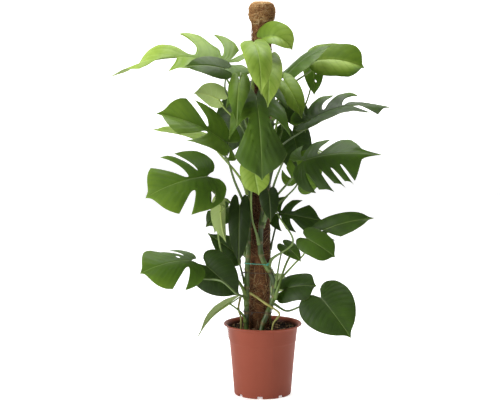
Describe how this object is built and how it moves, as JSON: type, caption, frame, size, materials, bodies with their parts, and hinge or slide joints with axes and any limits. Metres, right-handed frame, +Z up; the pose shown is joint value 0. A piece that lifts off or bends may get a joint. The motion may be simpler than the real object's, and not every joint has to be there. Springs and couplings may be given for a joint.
{
  "type": "potted swiss cheese plant",
  "caption": "Climbing swiss cheese plant with split and holed leaves, tied to a coir pole, in a tapered plastic nursery pot filled with soil.",
  "frame": {"origin": "middle of the flat underside of the pot, on the surface it stands on", "axes": "+Z up along the pot and the pole, -Y towards the front of the plant, +X to its right as seen from the front"},
  "size_m": [0.8345, 0.5538, 1.1962],
  "materials": {
    "pot": "terracotta coloured moulded plastic with a soft sheen",
    "soil": "damp dark potting soil",
    "stake": "plain round stake",
    "coir": "matted coconut fibre",
    "stem": "green stem with leaf scars",
    "root": "aerial root",
    "wire": "coated wire",
    "green_tie": "coated wire",
    "leaf": "smooth glossy leaf"
  },
  "bodies": {
    "root": {"pot": "pot", "soil": "soil", "pole_stake": "stake", "pole_coir": "coir", "stem_left": "stem", "stem_right": "stem", "stem_back": "stem", "root_crossing": "root", "root_side": "root", "tie_low": "wire", "tie_middle": "wire", "tie_green": "green_tie", "leaf_01": "leaf", "leaf_02": "leaf", "leaf_03": "leaf", "leaf_04": "leaf", "leaf_05": "leaf", "leaf_06": "leaf", "leaf_07": "leaf", "leaf_08": "leaf", "leaf_09": "leaf", "leaf_10": "leaf", "leaf_11": "leaf", "leaf_12": "leaf", "leaf_13": "leaf", "leaf_14": "leaf", "leaf_15": "leaf", "leaf_16": "leaf", "leaf_17": "leaf", "leaf_18": "leaf", "leaf_19": "leaf", "leaf_20": "leaf", "leaf_21": "leaf", "leaf_22": "leaf", "leaf_23": "leaf", "leaf_24": "leaf", "leaf_25": "leaf", "leaf_26": "leaf", "leaf_27": "leaf", "leaf_28": "leaf", "leaf_29": "leaf", "leaf_30": "leaf", "leaf_31": "leaf", "leaf_32": "leaf", "leaf_33": "leaf", "leaf_34": "leaf", "leaf_35": "leaf", "leaf_36": "leaf", "leaf_37": "leaf", "leaf_38": "leaf", "leaf_39": "leaf", "leaf_40": "leaf"}
  },
  "joints": []
}
